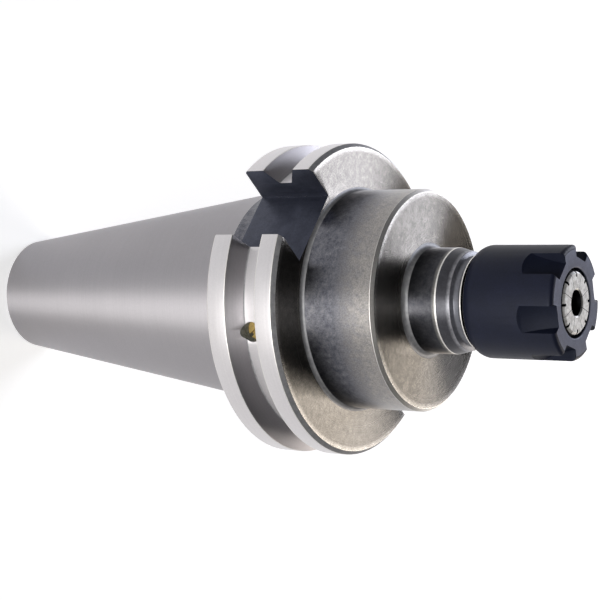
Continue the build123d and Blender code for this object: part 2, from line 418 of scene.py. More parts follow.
    def _radius_and_height(
        self, tree: bpy.types.NodeTree, place: bpy.types.NodeSocket
    ) -> tuple[bpy.types.NodeSocket, bpy.types.NodeSocket]:
        """Measure the distance from the axis and the height along it.

        Args:
            tree: Node tree of the material.
            place: Object coordinates.

        Returns:
            Outputs that carry the distance and the height.
        """
        split = add_node(tree, "ShaderNodeSeparateXYZ", {"Vector": place})
        flat = add_node(
            tree, "ShaderNodeVectorMath", {0: place, 1: (1.0, 1.0, 0.0)}, operation="MULTIPLY"
        )
        radius = add_node(
            tree, "ShaderNodeVectorMath", {0: flat.outputs["Vector"]}, operation="LENGTH"
        )
        return radius.outputs["Value"], split.outputs["Z"]


class Finish(Enum):
    """Finishes of the holder, each started from what the real surface is."""

    # Hardened steel, cylindrically ground: light satin grey with fine lines round the cone
    TAPER = SteelFinish(
        "ground tool steel, taper", "b4b1b4", "a8a5a8", Cut.GROUND, roughness=0.46, anisotropic=0.85,
        line_mm=0.4, line_depth=0.08, patch_mm=26.0, patch_amount=0.25, grain_mm=0.35, grain_amount=0.03,
    )
    # Ground flange rim and groove: paler than the taper, almost without lines
    RIM = SteelFinish(
        "ground tool steel, flange rim", "d6d3d4", "c9c6c7", Cut.GROUND, roughness=0.36, anisotropic=0.6,
        line_mm=0.5, line_depth=0.06, patch_mm=20.0, patch_amount=0.2, grain_mm=0.35, grain_amount=0.03,
    )
    # Blackened faces, turned: oxide thin and greyed, its fine rings spread a lamp's light across
    FACE = SteelFinish(
        "worn black oxide on a turned face", "96928c", "6a6763", Cut.TURNED, roughness=0.27, anisotropic=0.9,
        line_mm=0.4, line_depth=0.015, patch_mm=1.3, patch_amount=0.5, patch_sharp=0.3,
        grain_mm=0.28, grain_amount=0.24, worn="c9c5bf", worn_radii=(31.0, 21.5), rub_and_highlight_width=1.6,
    )
    # Nose cylinder: oxide rubbed through to grey, bluish black where it is whole; paler in a broad band
    # towards the face, darker towards the flange
    NOSE = SteelFinish(
        "worn black oxide on the nose", "77777c", "3c3e49", Cut.TURNED, roughness=0.32, anisotropic=0.6,
        line_mm=0.4, line_depth=0.06, patch_mm=1.2, patch_amount=0.7, patch_sharp=0.2,
        grain_mm=0.28, grain_amount=0.26, worn="9c9894", rub_and_highlight_heights=(103.2,), rub_and_highlight_width=13.0,
    )
    # Neck: thinner oxide over turned steel, mid grey
    NECK = SteelFinish(
        "thin black oxide on the neck", "606064", "3b3c43", Cut.TURNED, roughness=0.35, anisotropic=0.6,
        line_mm=0.35, line_depth=0.12, patch_mm=1.4, patch_amount=0.7, patch_sharp=0.3,
        grain_mm=0.25, grain_amount=0.16, worn="9b9995", rub_and_highlight_heights=(110.0,), rub_and_highlight_width=1.2,
    )
    # Cone under the nut: the same oxide, finer turned and a little paler; its pale band at the front end is
    # a painted highlight
    CONE = SteelFinish(
        "thin black oxide on the neck cone", "4e4e54", "3c3c42", Cut.TURNED, metallic=0.45, roughness=0.42,
        anisotropic=0.5, line_mm=0.3, line_depth=0.1, patch_mm=1.2, patch_amount=0.6, patch_sharp=0.3,
        grain_mm=0.25, grain_amount=0.12, worn="a4a4aa", rub_and_highlight_heights=(112.9,), rub_and_highlight_width=1.3,
    )
    # Flange chamfer and root fillets: oxide rubbed thin, a soft mid grey line; in the ground groove's
    # corners the same grey is painted shade
    CHAMFER = SteelFinish(
        "thin black oxide, flange chamfer", "9c9c9e", "757579", Cut.TURNED, roughness=0.5, metallic=0.4,
        line_mm=0.3, line_depth=0.05, patch_mm=1.0, patch_amount=0.6, grain_mm=0.25, grain_amount=0.12,
    )
    # Relief behind the nut thread: turned after blackening, dull grey with a little oil
    RELIEF = SteelFinish(
        "turned steel, thread relief", "7a7b82", "64656c", Cut.TURNED, metallic=0.5, roughness=0.38,
        anisotropic=0.6, line_mm=0.2, line_depth=0.15, patch_mm=0.8, patch_amount=0.6,
        grain_mm=0.2, grain_amount=0.12,
    )
    # Slot floors and walls: milled along the axis, with the full blue-black oxide
    SLOT = SteelFinish(
        "blue-black oxide in the drive slots", "4b4e5b", "393c48", Cut.MILLED, roughness=0.48, metallic=0.85,
        line_mm=0.5, line_depth=0.12, patch_mm=3.0, patch_amount=0.6, grain_mm=0.3, grain_amount=0.12,
    )
    # Broken edges: the bright line where a corner was dressed; on the nut's rear edge the same bright line
    # is a painted highlight
    EDGE = SteelFinish(
        "dressed bright edge, painted highlight on the nut", "f2efeb", "dcd9d5", Cut.TURNED, roughness=0.46,
        line_mm=0.4, line_depth=0.05, patch_mm=1.5, patch_amount=0.4, grain_mm=0.3, grain_amount=0.06,
    )
    # Bores: oil-wet steel, painted dark as shade; the same dark finish paints shade on the slits, the
    # collet's head cone at the nut's mouth and the thread's start behind the nut
    BORE = SteelFinish(
        "oiled steel, painted shade in bores and gaps", "2c2c30", "202024", Cut.TURNED, roughness=0.5,
        line_mm=0.4, line_depth=0.2, patch_mm=3.0, patch_amount=0.5,
    )
    # Drilled walls of the coolant holes: grey-green film of dried coolant on drilled steel
    DRILLED = SteelFinish(
        "drilled steel with dried coolant", "8f9698", "303536", Cut.TURNED, roughness=0.5, metallic=0.3,
        line_mm=0.3, line_depth=0.2, patch_mm=0.9, patch_amount=0.6, grain_mm=0.2, grain_amount=0.15,
    )
    # Nut body: smooth blue-black coating, soft sheen
    NUT = SteelFinish(
        "blue-black nitride coating, nut", "191d2f", "141826", Cut.GROUND, metallic=0.2, roughness=0.5,
        line_mm=0.5, line_depth=0.05, patch_mm=4.0, patch_amount=0.5, specular=0.22,
        grain_mm=0.3, grain_amount=0.12,
    )
    # Wrench slots: the same coating over milled steel, with less sheen; its deeper blue is painted shade in
    # the slots
    NUT_SLOT = SteelFinish(
        "blue-black nitride coating, wrench slots", "161a29", "121623", Cut.MILLED, metallic=0.1,
        roughness=0.5, specular=0.1, line_mm=0.5, line_depth=0.02, patch_mm=2.0, patch_amount=0.4,
        grain_mm=0.3, grain_amount=0.12,
    )
    # Nut face: the same coating, turned; its paler colour is painted light, where the face catches more
    # light than the sides
    NUT_FACE = SteelFinish(
        "blue-black nitride coating, nut face", "5e6274", "4a4e5e", Cut.TURNED, metallic=0.3, roughness=0.5,
        line_mm=0.4, line_depth=0.08, patch_mm=1.2, patch_amount=0.5, grain_mm=0.25, grain_amount=0.15,
    )
    # Collet: bright spring steel, lapped to a fine satin
    COLLET = SteelFinish(
        "satin spring steel, collet", "d5d4d0", "b9b8b4", Cut.GROUND, roughness=0.4,
        line_mm=0.4, line_depth=0.05, patch_mm=1.6, patch_amount=0.35, patch_sharp=0.5,
    )
    # Collet face: near white with faint grey smudges of handling
    COLLET_FACE = SteelFinish(
        "frosted spring steel, collet face", "fbfaf7", "b8b6b1", Cut.TURNED, metallic=0.6, roughness=0.4,
        line_mm=0.3, line_depth=0.05, patch_mm=0.9, patch_amount=0.6, patch_sharp=0.6,
        grain_mm=0.15, grain_amount=0.08,
    )
    # Plug: dull brass with oil in its slot
    BRASS = SteelFinish(
        "machined brass, coolant plug", "c4a866", "5c4620", Cut.MILLED, roughness=0.45, metallic=0.6,
        line_mm=0.3, line_depth=0.1, patch_mm=0.9, patch_amount=0.6,
    )
    # Set screw: plain black oxide
    SCREW = SteelFinish(
        "black oxide, set screw", "34353a", "27282c", Cut.TURNED, roughness=0.4, metallic=0.85,
        line_mm=0.4, line_depth=0.2, patch_mm=4.0, patch_amount=0.5,
    )

    @property
    def material(self) -> bpy.types.Material:
        """Return the finish's material."""
        return self.value.material()


@dataclass(frozen=True)
class Corner:
    """Corner of a turned profile, in millimetres.

    Attributes:
        radius: Distance from the axis.
        height: Height along the axis.
        finish: Finish of the surface that starts here.
        round: Radius that eases the corner, 0 for a sharp one.
        edge: Finish of the eased corner, or None for the finish that starts here.
    """

    radius: float
    height: float
    finish: Finish
    round: float = 0.0
    edge: Finish | None = None


def ease(corners: Sequence[Corner], steps: int = 5) -> list[tuple[float, float, Finish]]:
    """Turn a closed profile into points, with an arc at each eased corner.

    Args:
        corners: Corners in order round the section.
        steps: Segments of one arc.

    Returns:
        Radius, height and finish of the segment that starts at each point.
    """
    points: list[tuple[float, float, Finish]] = []
    count = len(corners)
    for i, corner in enumerate(corners):
        here = Vector((corner.radius, corner.height))
        if corner.round <= 0:
            points.append((here.x, here.y, corner.finish))
            continue
        before = corners[i - 1]
        after = corners[(i + 1) % count]
        back = (Vector((before.radius, before.height)) - here).normalized()
        ahead = (Vector((after.radius, after.height)) - here).normalized()
        half = back.angle(ahead) / 2
        reach = corner.round / math.tan(half)
        centre = here + (back + ahead).normalized() * (corner.round / math.sin(half))
        start, end = here + back * reach, here + ahead * reach
        sweep = math.pi - 2 * half
        first, last = start - centre, end - centre
        turn = 1 if first.x * last.y - first.y * last.x > 0 else -1
        for step in range(steps + 1):
            angle = turn * sweep * step / steps
            c, s = math.cos(angle), math.sin(angle)
            spot = centre + Vector((first.x * c - first.y * s, first.x * s + first.y * c))
            finish = corner.finish if step == steps else (corner.edge or corner.finish)
            points.append((spot.x, spot.y, finish))
    return points


def new_piece(name: str, mesh: bpy.types.Mesh) -> bpy.types.Object:
    """Link a mesh into the scene as an object at the origin.

    Args:
        name: Object name.
        mesh: Its mesh.

    Returns:
        The object.
    """
    piece = bpy.data.objects.new(name, mesh)
    bpy.context.scene.collection.objects.link(piece)
    return piece


def closed_piece(name: str, made: bmesh.types.BMesh, finishes: Iterable[Finish]) -> bpy.types.Object:
    """Turn a closed shape into a piece whose faces point outwards.

    Args:
        name: Object name.
        made: The shape, which is freed.
        finishes: Finishes in the order of the faces' material numbers.

    Returns:
        The piece.
    """
    bmesh.ops.recalc_face_normals(made, faces=made.faces)
    mesh = bpy.data.meshes.new(name)
    made.to_mesh(mesh)
    made.free()
    for finish in finishes:
        mesh.materials.append(finish.material)
    return new_piece(name, mesh)


def lathe(name: str, corners: Sequence[Corner], segments: int = 192) -> bpy.types.Object:
    """Turn a closed profile round the axis.

    Args:
        name: Object name.
        corners: Profile, with the metal on the left of the way round in the radius and height plane.
        segments: Faces round the axis.

    Returns:
        The turned piece, closed and with a material for each finish.
    """
    points = ease(corners)
    finishes = list(dict.fromkeys(finish for _, _, finish in points))
    made = bmesh.new()
    rings = []
    for i in range(segments):
        angle = 2 * math.pi * i / segments
        c, s = math.cos(angle) * MM, math.sin(angle) * MM
        rings.append([made.verts.new((r * c, r * s, h * MM)) for r, h, _ in points])
    count = len(points)
    for i in range(segments):
        here, there = rings[i], rings[(i + 1) % segments]
        for j in range(count):
            k = (j + 1) % count
            face = made.faces.new((here[j], there[j], there[k], here[k]))
            face.material_index = finishes.index(points[j][2])
            face.smooth = True
    return closed_piece(name, made, finishes)


def prism(name: str, outline: Sequence[Vector], depth: Vector, finish: Finish) -> bpy.types.Object:
    """Push a flat outline along a straight line into a closed solid.

    Args:
        name: Object name.
        outline: Corners of the outline, in millimetres in the row frame.
        depth: Way and distance of the push, in millimetres.
        finish: Finish of all its faces.

    Returns:
        The solid.
    """
    made = bmesh.new()
    near = [made.verts.new(p * MM) for p in outline]
    far = [made.verts.new((p + depth) * MM) for p in outline]
    made.faces.new(near)
    made.faces.new(list(reversed(far)))
    for i in range(len(near)):
        j = (i + 1) % len(near)
        made.faces.new((near[i], far[i], far[j], near[j]))
    return closed_piece(name, made, [finish])


def slit_plate(name: str, outline: Sequence[tuple[float, float]], width: float) -> bpy.types.Object:
    """Make the thin plate that cuts one slit, on the +X side.

    Args:
        name: Object name.
        outline: Distance from the axis and height of its corners, in millimetres.
        width: Width of the slit, in millimetres.

    Returns:
        The plate.
    """
    corners = [Vector((radius, -width / 2, height)) for radius, height in outline]
    return prism(name, corners, Vector((0, width, 0)), Finish.BORE)


def rod(
    name: str, start: Vector, end: Vector, radius: float, finish: Finish, sides: int = 48
) -> bpy.types.Object:
    """Make a plain round rod between two points, used to drill a hole.

    Args:
        name: Object name.
        start: Centre of one end, in millimetres.
        end: Centre of the other end, in millimetres.
        radius: Radius in millimetres.
        finish: Finish of the wall.
        sides: Faces round it.

    Returns:
        The rod.
    """
    way = end - start
    turn = way.to_track_quat("Z", "Y")
    outline = []
    for i in range(sides):
        angle = 2 * math.pi * i / sides
        outline.append(start + turn @ Vector((radius * math.cos(angle), radius * math.sin(angle), 0)))
    return prism(name, outline, way, finish)


def evaluated_copy(piece: bpy.types.Object) -> bpy.types.Mesh:
    """Work a piece's modifiers into a mesh of its own.

    Args:
        piece: Piece, which stays as it is.

    Returns:
        The new mesh.
    """
    graph = bpy.context.evaluated_depsgraph_get()
    graph.update()
    return bpy.data.meshes.new_from_object(
        piece.evaluated_get(graph), preserve_all_data_layers=True, depsgraph=graph
    )


def settle(piece: bpy.types.Object) -> None:
    """Replace a piece's mesh by the one its modifiers give, and drop the modifiers.

    Args:
        piece: Piece to settle.
    """
    mesh = evaluated_copy(piece)
    piece.modifiers.clear()
    old = piece.data
    piece.data = mesh
    bpy.data.meshes.remove(old)


def cut_away(piece: bpy.types.Object, cutters: Iterable[bpy.types.Object]) -> None:
    """Cut solids out of a piece; the cut faces take the cutters' finish.

    Args:
        piece: Closed piece to cut.
        cutters: Closed solids, which are removed afterwards.
    """
    cutters = list(cutters)
    for cutter in cutters:
        cut = piece.modifiers.new(cutter.name, "BOOLEAN")
        cut.operation = "DIFFERENCE"
        cut.solver = "EXACT"
        cut.material_mode = "TRANSFER"
        cut.object = cutter
    settle(piece)
    for cutter in cutters:
        bpy.data.objects.remove(cutter)


def dress_edges(piece: bpy.types.Object, width: float, edge: Finish | None, angle: float = 38.0) -> None:
    """Break the sharp edges of a piece and shade it smooth between them.

    Args:
        piece: Piece to finish.
        width: Width of the broken edge in millimetres, or 0 for none.
        edge: Finish of the broken edge, or None to carry on the faces' own.
        angle: Smallest turn between two faces that counts as an edge, in degrees.
    """
    if width > 0:
        bevel = piece.modifiers.new("broken edges", "BEVEL")
        bevel.width = width * MM
        bevel.segments = 2
        bevel.limit_method = "ANGLE"
        bevel.angle_limit = math.radians(angle)
        bevel.use_clamp_overlap = True
        bevel.miter_outer = "MITER_ARC"
        if edge is not None:
            names = [m.name for m in piece.data.materials]
            if edge.value.name not in names:
                piece.data.materials.append(edge.material)
                names.append(edge.value.name)
            bevel.material = names.index(edge.value.name)
        settle(piece)
    for face in piece.data.polygons:
        face.use_smooth = True
    piece.data.set_sharp_from_angle(angle=math.radians(SHARP_ANGLE))


def join(target: bpy.types.Object, others: Iterable[bpy.types.Object]) -> None:
    """Join pieces into the target's mesh, keeping their materials.

    Args:
        target: Piece that stays.
        others: Pieces that are taken in.
    """
    made = bmesh.new()
    made.from_mesh(target.data)
    names = [m.name for m in target.data.materials]
    for other in others:
        before = len(made.faces)
        made.from_mesh(other.data)
        made.faces.ensure_lookup_table()
        for material in other.data.materials:
            if material.name not in names:
                names.append(material.name)
                target.data.materials.append(material)
        for face in made.faces[before:]:
            face.material_index = names.index(other.data.materials[face.material_index].name)
        bpy.data.objects.remove(other)
    made.to_mesh(target.data)
    made.free()


class NodeRecipe:
    """Geometry node tree with named inputs, run once to make a plain mesh."""

    def __init__(self, name: str, inputs: dict[str, tuple[str, object]]) -> None:
        """Start the tree.

        Args:
            name: Name of the tree.
            inputs: Input name, with its socket type and value.
        """
        self.tree = bpy.data.node_groups.new(name, "GeometryNodeTree")
        self.tree.interface.new_socket(name="Geometry", in_out="OUTPUT", socket_type="NodeSocketGeometry")
        self.values: dict[str, object] = {}
        for label, (kind, value) in inputs.items():
            socket = self.tree.interface.new_socket(name=label, in_out="INPUT", socket_type=kind)
            self.values[socket.identifier] = value
        self.source = add_node(self.tree, "NodeGroupInput")
        self.sink = add_node(self.tree, "NodeGroupOutput")

    def node(
        self, kind: str, links: dict[str | int, object] | None = None, **settings: object
    ) -> bpy.types.Node:
        """Add a node to the tree."""
        return add_node(self.tree, kind, links, **settings)

    def run(
        self, name: str, geometry: bpy.types.NodeSocket, material: bpy.types.Material
    ) -> bpy.types.Object:
        """Realise the geometry, give it its material and return it as a plain mesh object.

        Args:
            name: Name of the new object.
            geometry: Output socket that carries the finished shape.
            material: Material of every face.

        Returns:
            The object, with no modifier left.
        """
        plain = self.node("GeometryNodeRealizeInstances", {"Geometry": geometry})
        dressed = self.node(
            "GeometryNodeSetMaterial", {"Geometry": plain.outputs["Geometry"], "Material": material}
        )
        self.tree.links.new(dressed.outputs["Geometry"], self.sink.inputs["Geometry"])
        piece = new_piece(name, bpy.data.meshes.new(name))
        modifier = piece.modifiers.new(name, "NODES")
        modifier.node_group = self.tree
        for identifier, value in self.values.items():
            modifier[identifier] = value
        settle(piece)
        piece.data.materials.clear()
        piece.data.materials.append(material)
        return piece


def ring_of(
    name: str, master: bpy.types.Object, count: int, first: float, finish: Finish
) -> bpy.types.Object:
    """Repeat a shape round the axis with geometry nodes.

    Args:
        name: Name of the ring.
        master: Shape at angle 0, on the +X side, which is removed afterwards.
        count: Number of copies.
        first: Angle of the first copy, in degrees.
        finish: Finish of all copies.

    Returns:
        One object with all the copies.
    """
    recipe = NodeRecipe(
        name,
        {
            "Shape": ("NodeSocketObject", master),
            "Count": ("NodeSocketInt", count),
            "First angle": ("NodeSocketFloat", math.radians(first)),
            "Step angle": ("NodeSocketFloat", 2 * math.pi / count),
        },
    )
    given = recipe.source.outputs
    shape = recipe.node("GeometryNodeObjectInfo", {"Object": given["Shape"]})
    spots = recipe.node("GeometryNodePoints", {"Count": given["Count"]})
    index = recipe.node("GeometryNodeInputIndex")
    along = recipe.node(
        "ShaderNodeMath",
        {0: index.outputs["Index"], 1: given["Step angle"], 2: given["First angle"]},
        operation="MULTIPLY_ADD",
    )
    turn = recipe.node("ShaderNodeCombineXYZ", {"Z": along.outputs["Value"]})
    copies = recipe.node(
        "GeometryNodeInstanceOnPoints",
        {
            "Points": spots.outputs["Points"],
            "Instance": shape.outputs["Geometry"],
            "Rotation": turn.outputs["Vector"],
        },
    )
    ring = recipe.run(name, copies.outputs["Instances"], finish.material)
    bpy.data.objects.remove(master)
    return ring


@dataclass(frozen=True)
class ThreadRidge:
    """Ridge of a thread, wound along the axis with geometry nodes; sizes in millimetres.

    Attributes:
        name: Name of the ridge.
        root: Radius of the ridge's foot.
        crest: Radius of its top; less than the root for a thread in a bore.
        pitch: Rise of one turn.
        start: Height of the first turn.
        end: Height of the last turn.
        finish: Finish of the ridge.
        foot_width: Width of the ridge's foot, as a share of the pitch.
        crest_share: Width of the crest, as a share of the section's width where it starts.
        steps: Segments of one turn.
        columns: Points across the ridge, of which the outer two lie at its foot.
    """

    name: str
    root: float
    crest: float
    pitch: float
    start: float
    end: float
    finish: Finish
    foot_width: float = 0.92
    crest_share: float = 0.3
    steps: int = 64
    columns: int = 5

    def build(self) -> bpy.types.Object:
        """Wind the ridge: a grid whose rows follow a helix and whose columns cross the section.

        Returns:
            The ridge, which fades into its foot over half a turn at each end.
        """
        turns = (self.end - self.start) / self.pitch
        rows = max(int(turns * self.steps), 8)
        middle = (self.columns - 1) / 2
        recipe = NodeRecipe(
            self.name,
            {
                "Turns": ("NodeSocketFloat", turns),
                "Root radius": ("NodeSocketFloat", self.root * MM),
                "Depth": ("NodeSocketFloat", (self.crest - self.root) * MM),
                "Half width": ("NodeSocketFloat", self.pitch * self.foot_width / 2 * MM),
                "Length": ("NodeSocketFloat", (self.end - self.start) * MM),
                "Start height": ("NodeSocketFloat", self.start * MM),
            },
        )
        given = recipe.source.outputs
        helix = recipe.node(
            "GeometryNodeCurveSpiral",
            {
                "Resolution": self.steps,
                "Rotations": given["Turns"],
                "Start Radius": given["Root radius"],
                "End Radius": given["Root radius"],
                "Height": given["Length"],
            },
        )
        even = recipe.node("GeometryNodeResampleCurve", {"Curve": helix.outputs["Curve"], "Count": rows})
        lift = recipe.node("ShaderNodeCombineXYZ", {"Z": given["Start height"]})
        raised = recipe.node(
            "GeometryNodeSetPosition",
            {"Geometry": even.outputs["Curve"], "Offset": lift.outputs["Vector"]},
        )
        spots = recipe.node(
            "GeometryNodeCurveToPoints", {"Curve": raised.outputs["Geometry"]}, mode="EVALUATED"
        )
        grid = recipe.node(
            "GeometryNodeMeshGrid",
            {"Size X": 1.0, "Size Y": 1.0, "Vertices X": rows, "Vertices Y": self.columns},
        )
        # Row and column of each point of the grid, from its number
        index = recipe.node("GeometryNodeInputIndex").outputs["Index"]
        column = recipe.node("ShaderNodeMath", {0: index, 1: float(self.columns)}, operation="MODULO")
        share = recipe.node("ShaderNodeMath", {0: index, 1: float(self.columns)}, operation="DIVIDE")
        row = recipe.node("ShaderNodeMath", {0: share.outputs["Value"]}, operation="FLOOR")
        spot = recipe.node(
            "GeometryNodeSampleIndex",
            {
                "Geometry": spots.outputs["Points"],
                "Value": recipe.node("GeometryNodeInputPosition").outputs["Position"],
                "Index": row.outputs["Value"],
            },
            data_type="FLOAT_VECTOR",
        )
        flat = recipe.node(
            "ShaderNodeVectorMath", {0: spot.outputs["Value"], 1: (1.0, 1.0, 0.0)}, operation="MULTIPLY"
        )
        outward = recipe.node(
            "ShaderNodeVectorMath", {0: flat.outputs["Vector"]}, operation="NORMALIZE"
        )
        # Section: full height and a narrow crest up to one column from the middle, 0 at both feet
        across = recipe.node(
            "ShaderNodeMath", {0: column.outputs["Value"], 1: middle}, operation="SUBTRACT"
        )
        away = recipe.node("ShaderNodeMath", {0: across.outputs["Value"]}, operation="ABSOLUTE")
        tall, narrow = (
            recipe.node(
                "ShaderNodeMapRange",
                {
                    "Value": away.outputs["Value"],
                    "From Min": middle - 1,
                    "From Max": middle,
                    "To Min": crest,
                    "To Max": foot,
                },
                clamp=True,
            )
            for crest, foot in ((1.0, 0.0), (self.crest_share, 1.0))
        )
        # Fade: the height falls to 0 over the first and the last half turn
        progress = recipe.node(
            "ShaderNodeMath", {0: row.outputs["Value"], 1: float(rows - 1)}, operation="DIVIDE"
        )
        centred = recipe.node(
            "ShaderNodeMath", {0: progress.outputs["Value"], 1: 0.5}, operation="SUBTRACT"
        )
        from_middle = recipe.node(
            "ShaderNodeMath", {0: centred.outputs["Value"]}, operation="ABSOLUTE"
        )
        fade = recipe.node(
            "ShaderNodeMapRange",
            {
                "Value": from_middle.outputs["Value"],
                "From Min": 0.5 - 0.5 / turns,
                "From Max": 0.5,
                "To Min": 1.0,
                "To Max": 0.0,
            },
            clamp=True,
        )
        height = recipe.node(
            "ShaderNodeMath",
            {0: tall.outputs["Result"], 1: fade.outputs["Result"]},
            operation="MULTIPLY",
        )
        out = recipe.node(
            "ShaderNodeMath", {0: height.outputs["Value"], 1: given["Depth"]}, operation="MULTIPLY"
        )
        side = recipe.node(
            "ShaderNodeMath", {0: across.outputs["Value"], 1: middle}, operation="DIVIDE"
        )
        drawn_in = recipe.node(
            "ShaderNodeMath",
            {0: side.outputs["Value"], 1: narrow.outputs["Result"]},
            operation="MULTIPLY",
        )
        rise = recipe.node(
            "ShaderNodeMath",
            {0: drawn_in.outputs["Value"], 1: given["Half width"]},
            operation="MULTIPLY",
        )
        upward = recipe.node("ShaderNodeCombineXYZ", {"Z": rise.outputs["Value"]})
        radial = recipe.node(
            "ShaderNodeVectorMath",
            {0: outward.outputs["Vector"], "Scale": out.outputs["Value"]},
            operation="SCALE",
        )
        base = recipe.node(
            "ShaderNodeVectorMath", {0: spot.outputs["Value"], 1: radial.outputs["Vector"]}
        )
        final = recipe.node(
            "ShaderNodeVectorMath", {0: base.outputs["Vector"], 1: upward.outputs["Vector"]}
        )
        wound = recipe.node(
            "GeometryNodeSetPosition",
            {"Geometry": grid.outputs["Mesh"], "Position": final.outputs["Vector"]},
        )
        return recipe.run(self.name, wound.outputs["Geometry"], self.finish.material)


@dataclass(frozen=True)
class Stations:
    """Sizes that the pieces share and the places that follow from them, in millimetres."""

    # Holder
    gauge: float = 68.25
    flange_setback: float = 3.175
    flange_width: float = 15.875
    groove_setback: float = 11.11
    nose_length: float = 15.9
    neck_length: float = 6.85

    # Nut and collet
    nut_setback: float = 5.9
    nut_length: float = 18.6
    stand_out: float = 0.2
    collet_length: float = 27.5
    collet_head_length: float = 6.26
    mouth_setback: float = 0.95
    collet_radius: float = 8.5
    collet_head_radius: float = 7.95
    collet_head_land: float = 0.3
    collet_face_radius: float = 6.0
    collet_face_chamfer: float = 0.5
    collet_slope: float = math.tan(math.radians(8))
    head_slope: float = math.tan(math.radians(30))

    # Thread and fits
    thread_radius: float = 9.5
    thread_clearance: float = 0.05
    cone_clearance: float = 0.03

    @property
    def flange_rear(self) -> float:
        """Return the height of the flange's rear face."""
        return self.gauge + self.flange_setback

    @property
    def flange_front(self) -> float:
        """Return the height of the flange's front face."""
        return self.flange_rear + self.flange_width

    @property
    def groove(self) -> float:
        """Return the height of the gripper groove's middle."""
        return self.gauge + self.groove_setback

    @property
    def nose_front(self) -> float:
        """Return the height of the nose's face."""
        return self.flange_front + self.nose_length

    @property
    def neck_front(self) -> float:
        """Return the height at which the neck's cone starts."""
        return self.nose_front + self.neck_length

    @property
    def nut_rear(self) -> float:
        """Return the height of the nut's rear face."""
        return self.neck_front + self.nut_setback

    @property
    def nut_front(self) -> float:
        """Return the height of the nut's face."""
        return self.nut_rear + self.nut_length

    @property
    def collet_face(self) -> float:
        """Return the height of the collet's face."""
        return self.nut_front + self.stand_out

    @property
    def collet_rear(self) -> float:
        """Return the height of the collet's rear end."""
        return self.collet_face - self.collet_length

    @property
    def collet_shoulder(self) -> float:
        """Return the height at which the collet's long cone ends."""
        return self.collet_face - self.collet_head_length

    @property
    def head_rear(self) -> float:
        """Return the height at which the steep cone of the collet's head starts."""
        cone = (self.collet_head_radius - self.collet_face_radius) / self.head_slope
        return self.collet_face - self.collet_face_chamfer - cone

    @property
    def mouth(self) -> float:
        """Return the height of the neck's end, where the collet goes in."""
        return self.collet_shoulder - self.mouth_setback


